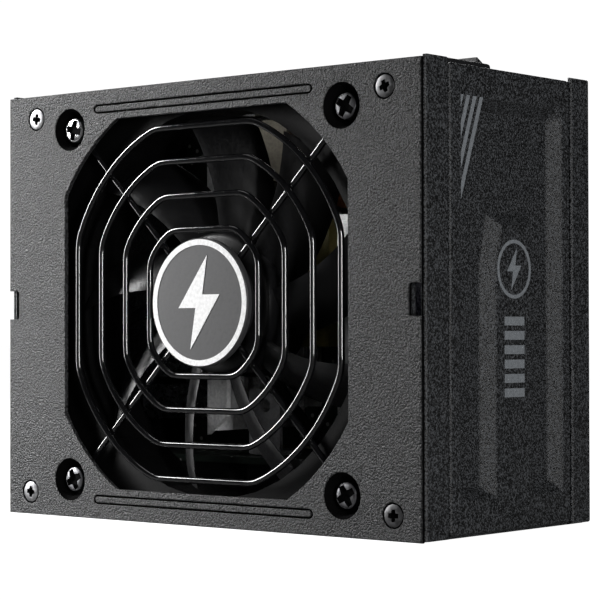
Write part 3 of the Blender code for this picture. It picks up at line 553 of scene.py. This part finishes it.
def make_screw(node, turn, steel, arms, profile):
    """A cross-head screw turned from its profile, with the driver cross cut into the head."""
    low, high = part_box(node)
    centre = screw_place(node)
    body, cutter = bmesh.new(), bmesh.new()
    outline = [(radius, low.y + depth) for radius, depth in profile]
    shank = profile[-1][0]
    lathe(body, [(0, low.y)] + outline + [(shank, high.y), (0, high.y)], centre, 40)
    finish_normals(body)
    plate(cutter, cross(*arms, turn, centre), low.y - CUTTER_START, CUTTER_START + CROSS_DEPTH)
    finish_normals(cutter)
    # the cut driver cross takes the near-black coat: painted shade inside the cross
    shape = carved(body, cutter, (steel, PAINTED_SHADE))
    piece = link(node + "_finish", shape, steel, "case", 35, (node,))
    piece.data.materials.append(PAINTED_SHADE)


def make_screws():
    """Pan-head fan screws, one of them bright, and flush case screws."""
    for number in range(4):
        steel = BRIGHT_STEEL if number == 1 else DARK_STEEL
        make_screw(f"fan_screw_{number + 1}", FAN_SCREW_TURNS[number], steel, FAN_SCREW_CROSS, PAN_PROFILE)
        make_screw(f"case_screw_{number + 1}", CASE_SCREW_TURNS[number], CASE_STEEL[number],
                   CASE_SCREW_CROSS, FLUSH_PROFILE)


# ---- grille ----
WIRE_RADIUS = 0.00075
RING_DEPTH = GRILLE[0].y + WIRE_RADIUS
SPOKE_DEPTH = GRILLE[1].y - WIRE_RADIUS - 0.0002
SPOKE_POINTS = (0.0090, 0.0300, 0.0517)
RING_SIZES = [(0.0399, 0.0426), (0.0321, 0.0349), (0.0242, 0.0271), (0.0165, 0.0191)]
SEAM_PLACES = (-0.0021, -0.0012)  # butt seams of the two inner rings, along X
SEAM_HALF = 0.0003


def cut_square(half, radius, step=0.0009, rounds=5):
    """A square with its corners cut by a circle, with softened bends, about the fan's centre."""
    lean = math.acos(half / radius)
    corners = []
    for number in range(4):
        arc_steps = max(4, int(radius * (math.pi / 2 - 2 * lean) / step))
        start, end = math.pi / 2 * number + lean, math.pi / 2 * (number + 1) - lean
        corners += arc(radius, math.degrees(start), math.degrees(end), arc_steps)
    points = []
    for index, first in enumerate(corners):
        second = corners[(index + 1) % len(corners)]
        pieces = max(1, round(math.dist(first, second) / step))
        for k in range(pieces):
            points.append((first[0] + (second[0] - first[0]) * k / pieces,
                           first[1] + (second[1] - first[1]) * k / pieces))
    for _ in range(rounds):
        points = softened(points)
    return [(x, z + MIDDLE) for x, z in points]


def softened(points):
    """A closed line with each point drawn towards its neighbours."""
    after = points[1:] + points[:1]
    before = points[-1:] + points[:-1]
    return [((a[0] + 2 * b[0] + c[0]) / 4, (a[1] + 2 * b[1] + c[1]) / 4)
            for a, b, c in zip(before, points, after)]


def make_grille():
    """Four bent wire rings on four spokes, with butt seams on the inner rings."""
    bm = bmesh.new()
    for half, radius in RING_SIZES:
        tube(bm, [(x, RING_DEPTH, z) for x, z in cut_square(half, radius)], WIRE_RADIUS, True)
    for number in range(4):
        angle = math.radians(45 + 90 * number)
        ends = [(reach * math.cos(angle), SPOKE_DEPTH, MIDDLE + reach * math.sin(angle))
                for reach in SPOKE_POINTS]
        tube(bm, ends, WIRE_RADIUS)
    for (half, _), seam in zip(RING_SIZES[2:], SEAM_PLACES):
        ends = [(seam + shift, RING_DEPTH, MIDDLE + half) for shift in (-SEAM_HALF, SEAM_HALF)]
        tube(bm, ends, WIRE_RADIUS * 1.15)
    finish_normals(bm)
    link("fan_grille_finish", bm, WIRE, "case", 60, ("fan_grille",))


def bolt_outline(size, centre):
    """A plain lightning bolt of a given half height."""
    shape = [(0.23, 1.0), (-0.59, -0.114), (-0.095, -0.114), (-0.248, -1.0), (0.59, 0.171), (0.095, 0.171)]
    return [(centre[0] + x * size, centre[1] + z * size) for x, z in shape]


def make_badge():
    """Round badge with a white rim and a plain lightning bolt."""
    back, front = BADGE[1].y, BADGE[0].y
    radius = (BADGE[1].x - BADGE[0].x) / 2
    edge, rim_start, proud = 0.0003, 0.0016, 0.00012
    bolt_half_height = 0.0105
    bm = bmesh.new()
    lathe(bm, [(0, front), (radius - edge, front), (radius, front + edge), (radius, back), (0, back)],
          (0, MIDDLE), 96)
    finish_normals(bm)
    link("grille_badge_finish", bm, BADGE_GREY, "case", 40, ("grille_badge",))
    bm = bmesh.new()
    outer, inner = radius - edge, radius - rim_start
    rim = [(outer, front - proud), (inner, front - proud), (inner, front + proud),
           (outer, front + proud), (outer, front - proud)]
    lathe(bm, rim, (0, MIDDLE), 96)
    plate(bm, bolt_outline(bolt_half_height, (0, MIDDLE)), front - proud, 2 * proud)
    finish_normals(bm)
    link("grille_badge_print", bm, PRINT_WHITE, "case", 40)


# ---- fan ----
HUB_RADIUS = 0.0160
HUB_WALL = 0.0014
HUB_FACE_RADIUS = 0.0150
HUB_FLOOR = 0.0016
HUB_PROFILE = [(0, 0), (0.0120, 0), (0.0146, 0.0001), (0.0154, 0.0004), (0.0159, 0.0010),
               (HUB_RADIUS, 0.0018)]  # (radius, depth behind the hub's face)
BLADE_COUNT = 9
BLADE_TIP = (ROTOR[1].x - ROTOR[0].x) / 2 - 0.0002
BLADE_ROOT = HUB_RADIUS - 0.0006
BLADE_SWEEP = (12, 1.4)  # degrees from root to tip, and how sharply they gather towards the tip
BLADE_CHORD = (0.0105, 0.0118)  # length round the axis, at the root and at the tip
BLADE_FRONT = 0.0062
BLADE_DEPTH = 0.0096
BLADE_CAMBER = (0.62, 0.38)  # straight and curved shares of the blade's depth
BLADE_SETBACK = 0.0012  # how much deeper the leading edge starts at the root
BLADE_HALF_THICKNESS = 0.0005
BLADE_ROWS = 14
BLADE_COLUMNS = 10
PUTTY_RADIUS = 0.0011
PUTTY_CENTRES = (0.0132, 0.0110)  # ends of the balance slot, above the axis


def blade_point(part, along, turn):
    """A point of a blade: part runs from hub to tip, along from the leading to the trailing edge."""
    reach = BLADE_ROOT + (BLADE_TIP - BLADE_ROOT) * part
    lead = math.radians(turn + BLADE_SWEEP[0] * part ** BLADE_SWEEP[1])
    span = (BLADE_CHORD[0] + (BLADE_CHORD[1] - BLADE_CHORD[0]) * part) / reach
    angle = lead - span * along
    depth = BLADE_FRONT + BLADE_DEPTH * (BLADE_CAMBER[0] * along + BLADE_CAMBER[1] * along * along)
    depth += BLADE_SETBACK * (1 - part) * (1 - along)
    return Vector((reach * math.cos(angle), FACE + depth, MIDDLE + reach * math.sin(angle)))


def thinning(part, along):
    """Share of a blade's full thickness: it falls off close to the two side edges and the tip."""
    return min(1.0, 0.25 + 6 * min(along, 1 - along)) * min(1.0, 0.3 + 8 * (1 - part))


def blade_skin(bm, turn, side):
    """The front or back skin of a blade as a grid of points, thinning towards its edges."""
    grid = []
    for row in range(BLADE_ROWS + 1):
        line = []
        for column in range(BLADE_COLUMNS + 1):
            part, along = row / BLADE_ROWS, column / BLADE_COLUMNS
            spot = blade_point(part, along, turn)
            spot.y += side * BLADE_HALF_THICKNESS * thinning(part, along)
            line.append(bm.verts.new(spot))
        grid.append(line)
    for lower, upper in zip(grid, grid[1:]):
        for k in range(BLADE_COLUMNS):
            bm.faces.new((lower[k], lower[k + 1], upper[k + 1], upper[k]))
    return grid


def put_blade(bm, turn):
    """A closed blade: two skins joined all round."""
    front, back = [blade_skin(bm, turn, side) for side in (-1, 1)]
    rows, columns = BLADE_ROWS, BLADE_COLUMNS
    rim = [(r, 0) for r in range(rows)] + [(rows, c) for c in range(columns)]
    rim += [(r, columns) for r in range(rows, 0, -1)] + [(0, c) for c in range(columns, 0, -1)]
    for (r1, c1), (r2, c2) in zip(rim, rim[1:] + rim[:1]):
        bm.faces.new((front[r1][c1], front[r2][c2], back[r2][c2], back[r1][c1]))


def make_rotor():
    """Hub cup with a grey face, and swept blades with thin edges."""
    front, back = ROTOR[0].y, ROTOR[1].y - 0.0002
    bm = bmesh.new()
    inner = HUB_RADIUS - HUB_WALL
    profile = [(radius, front + depth) for radius, depth in HUB_PROFILE]
    profile += [(HUB_RADIUS, back), (inner, back), (inner, front + HUB_FLOOR), (0, front + HUB_FLOOR)]
    lathe(bm, profile, (0, MIDDLE), 96)
    for number in range(BLADE_COUNT):
        put_blade(bm, 90 + number * 360 / BLADE_COUNT)
    finish_normals(bm)
    rotor = link("fan_rotor_finish", bm, FAN_BLACK_SHADED, "fan", 40, ("fan_rotor",))
    rotor.data.materials.append(HUB_GREY)
    for face in rotor.data.polygons:
        reach = math.hypot(face.center.x, face.center.z - MIDDLE)
        if face.center.y < front + 0.00005 and reach < HUB_FACE_RADIUS:
            face.material_index = 1


def make_putty():
    """Balance putty filling a short slot in the hub's face."""
    high, low = PUTTY_CENTRES
    outline = arc(PUTTY_RADIUS, 0, 180, 10, (0, high)) + arc(PUTTY_RADIUS, 180, 360, 10, (0, low))
    bm = bmesh.new()
    plate(bm, [(x, z + MIDDLE) for x, z in outline], ROTOR[0].y - 0.00006, 0.0003)
    finish_normals(bm)
    link("hub_balance_putty", bm, PUTTY, "fan")


# ---- marks on the side covers ----
# Places are (depth behind the fan face, height).
STRIPE_TOP = 0.0932
STRIPE_LEAN = 0.37  # depth gained for each unit of height
STRIPE_CLIP = 0.01365
STRIPE_WIDTH = 0.00125
STRIPE_PITCH = 0.00238
STRIPE_START = 0.0134
MARK_CENTRE = (0.0332, 0.0569)
MARK_RING = (0.0064, 0.0056)
MARK_BOLT = 0.0046
BAR_DEPTHS = (0.0295, 0.0370)
BAR_TOP = 0.0466
BAR_PITCH = 0.0031
BAR_WIDTH = 0.0019


def put_ring(bm, level, side, steps=48):
    """A printed ring made of short flat pieces."""
    outer, inner = MARK_RING
    for index in range(steps):
        first, second = math.tau * index / steps, math.tau * (index + 1) / steps
        corners = [(outer, first), (outer, second), (inner, second), (inner, first)]
        outline = [(MARK_CENTRE[0] + reach * math.cos(angle), MARK_CENTRE[1] + reach * math.sin(angle))
                   for reach, angle in corners]
        side_plate(bm, outline, level, side)


def put_stripes(bm, level, side):
    """Four slanted stripes that fade out against an upright line."""
    for number in range(4):
        left = STRIPE_START + number * STRIPE_PITCH
        right = left + STRIPE_WIDTH
        points = [(max(left, STRIPE_CLIP), STRIPE_TOP), (right, STRIPE_TOP),
                  (STRIPE_CLIP, STRIPE_TOP - (right - STRIPE_CLIP) / STRIPE_LEAN)]
        if left > STRIPE_CLIP + 1e-5:
            points.append((STRIPE_CLIP, STRIPE_TOP - (left - STRIPE_CLIP) / STRIPE_LEAN))
        side_plate(bm, points, level, side)


def put_bars(bm, level, side):
    """A column of six plain bars."""
    near, far = BAR_DEPTHS
    for number in range(6):
        high = BAR_TOP - number * BAR_PITCH
        low = high - BAR_WIDTH
        side_plate(bm, [(near, high), (far, high), (far, low), (near, low)], level, side)


def make_marks():
    """Slanted stripes, a ring with a lightning bolt and a column of plain bars on each side cover."""
    for name, level in SIDES:
        side = math.copysign(1, level)
        bm = bmesh.new()
        put_stripes(bm, level, side)
        put_ring(bm, level, side)
        side_plate(bm, bolt_outline(MARK_BOLT, MARK_CENTRE), level, side)
        put_bars(bm, level, side)
        finish_normals(bm)
        link(f"side_marks_{name}", bm, PRINT_GREY, "case")


# ---- floor, light and camera ----
def area_light(name, place, target, power, size, height=None):
    """A soft box aimed at a point. It is as high as it is wide unless a height is given."""
    data = bpy.data.lights.new(name, "AREA")
    data.shape = "RECTANGLE"
    data.size = size
    data.size_y = height or size
    data.energy = power
    lamp = bpy.data.objects.new(name, data)
    SCENE.collection.objects.link(lamp)
    lamp.location = place
    lamp.rotation_mode = "QUATERNION"
    lamp.rotation_quaternion = (Vector(target) - Vector(place)).to_track_quat("-Z", "Y")
    return lamp


def around(azimuth, distance, height):
    """A place round the object. Azimuth 0 is in front of the fan and 90 is at +X."""
    angle = math.radians(azimuth)
    return (distance * math.sin(angle), -distance * math.cos(angle), height)


def make_floor():
    """Pale floor that looks white and throws little light back up."""
    bm = bmesh.new()
    bmesh.ops.create_grid(bm, x_segments=1, y_segments=1, size=6)
    mesh = bpy.data.meshes.new("floor")
    bm.to_mesh(mesh)
    bm.free()
    floor = bpy.data.objects.new("floor", mesh)
    SCENE.collection.objects.link(floor)
    made, tree, shader = new_material("pale_floor")
    shader.inputs["Base Color"].default_value = (0.25, 0.25, 0.25, 1)
    shader.inputs["Roughness"].default_value = 0.9
    shader.inputs["Specular IOR Level"].default_value = 0.0
    shader.inputs["Emission Color"].default_value = (1, 1, 1, 1)
    path = add_node(tree, "ShaderNodeLightPath")
    glow = add_node(tree, "ShaderNodeMapRange")
    glow.inputs["To Min"].default_value = 0.03
    glow.inputs["To Max"].default_value = 1.0
    tree.links.new(path.outputs["Is Camera Ray"], glow.inputs["Value"])
    tree.links.new(glow.outputs["Result"], shader.inputs["Emission Strength"])
    mesh.materials.append(made)


def make_world():
    """White surroundings that light the object only faintly."""
    world = bpy.data.worlds.new("studio")
    SCENE.world = world
    world.use_nodes = True
    tree = world.node_tree
    seen = tree.nodes["Background"]
    lit = add_node(tree, "ShaderNodeBackground")
    for background, strength in ((seen, 1.05), (lit, 0.015)):
        background.inputs["Color"].default_value = (1, 1, 1, 1)
        background.inputs["Strength"].default_value = strength
    path = add_node(tree, "ShaderNodeLightPath")
    mix = add_node(tree, "ShaderNodeMixShader")
    tree.links.new(path.outputs["Is Camera Ray"], mix.inputs["Fac"])
    tree.links.new(lit.outputs["Background"], mix.inputs[1])
    tree.links.new(seen.outputs["Background"], mix.inputs[2])
    tree.links.new(mix.outputs["Shader"], tree.nodes["World Output"].inputs["Surface"])


def make_lights():
    """A close narrow key on the left, a side light, a weak light into the fan, and top and back fills."""
    aim = (0, FACE, MIDDLE)
    key = area_light("key_left", around(-58, 0.27, 0.13), (-0.085, FACE, 0.06), 0.26, 0.04, 0.24)
    key.data.spread = math.radians(60)
    area_light("side_right", around(63, 0.70, 0.12), (RIGHT, 0, MIDDLE), 2.75, 0.05, 0.30)
    area_light("inside", around(33, 0.60, 0.12), aim, 0.14, 0.03, 0.20)
    area_light("top_soft", (-0.25, -0.02, 0.7), aim, 0.6, 0.3)
    area_light("back_left", around(215, 0.8, 0.35), (0, 0, MIDDLE), 2.0, 0.4)
    SCENE.view_settings.view_transform = "Standard"


CAMERA_PLACE = (0.32437, -0.38121, 0.04288)
CAMERA_TURN = (90.9205, 0.1116, 40.1296)  # degrees
CAMERA_LENS = 127.836  # millimetres, on a 36 mm sensor


def make_camera():
    """Long lens off the front right corner, just below the object's middle and looking slightly up."""
    data = bpy.data.cameras.new("camera")
    data.sensor_width = 36
    data.lens = CAMERA_LENS
    data.clip_start = 0.01
    camera = bpy.data.objects.new("camera", data)
    SCENE.collection.objects.link(camera)
    camera.location = CAMERA_PLACE
    camera.rotation_euler = [math.radians(angle) for angle in CAMERA_TURN]
    SCENE.camera = camera


# ---- finishes of the CAD nodes that stay ----
def dress_nodes():
    """Give the CAD nodes that stay their materials. The two panels have theirs from make_shell."""
    looks = {"fan_frame": FRAME_BLACK_SHADED, "magnet_ring": MAGNET, "stator": COPPER, "filter_choke": COPPER,
             "fan_bearing": BRONZE, "fan_shaft": SHAFT, "insulator_sheet": FILM, "main_board": BOARD,
             "socket_board": BOARD, "bulk_capacitor": SLEEVE, "transformer": TAPE,
             "primary_heatsink": ALUMINIUM, "secondary_heatsink": ALUMINIUM,
             "film_capacitor": FILM_CASE, "board_bracket": BRACKET}
    for node, obj in NODES.items():
        look = looks.get(node)
        if node.startswith("socket_") and node != "socket_board":
            look = INLET_BLACK
        elif node.startswith("inlet_pin"):
            look = NICKEL
        elif node.startswith("output_capacitor"):
            look = CAN
        if look:
            obj.data.materials[0] = look


make_floor()
make_world()
make_lights()
make_camera()
make_fan_cover()
make_shell()
make_painted_shade_seams()
make_inlet_and_switch()
make_screws()
make_grille()
make_badge()
make_rotor()
make_putty()
make_marks()
dress_nodes()
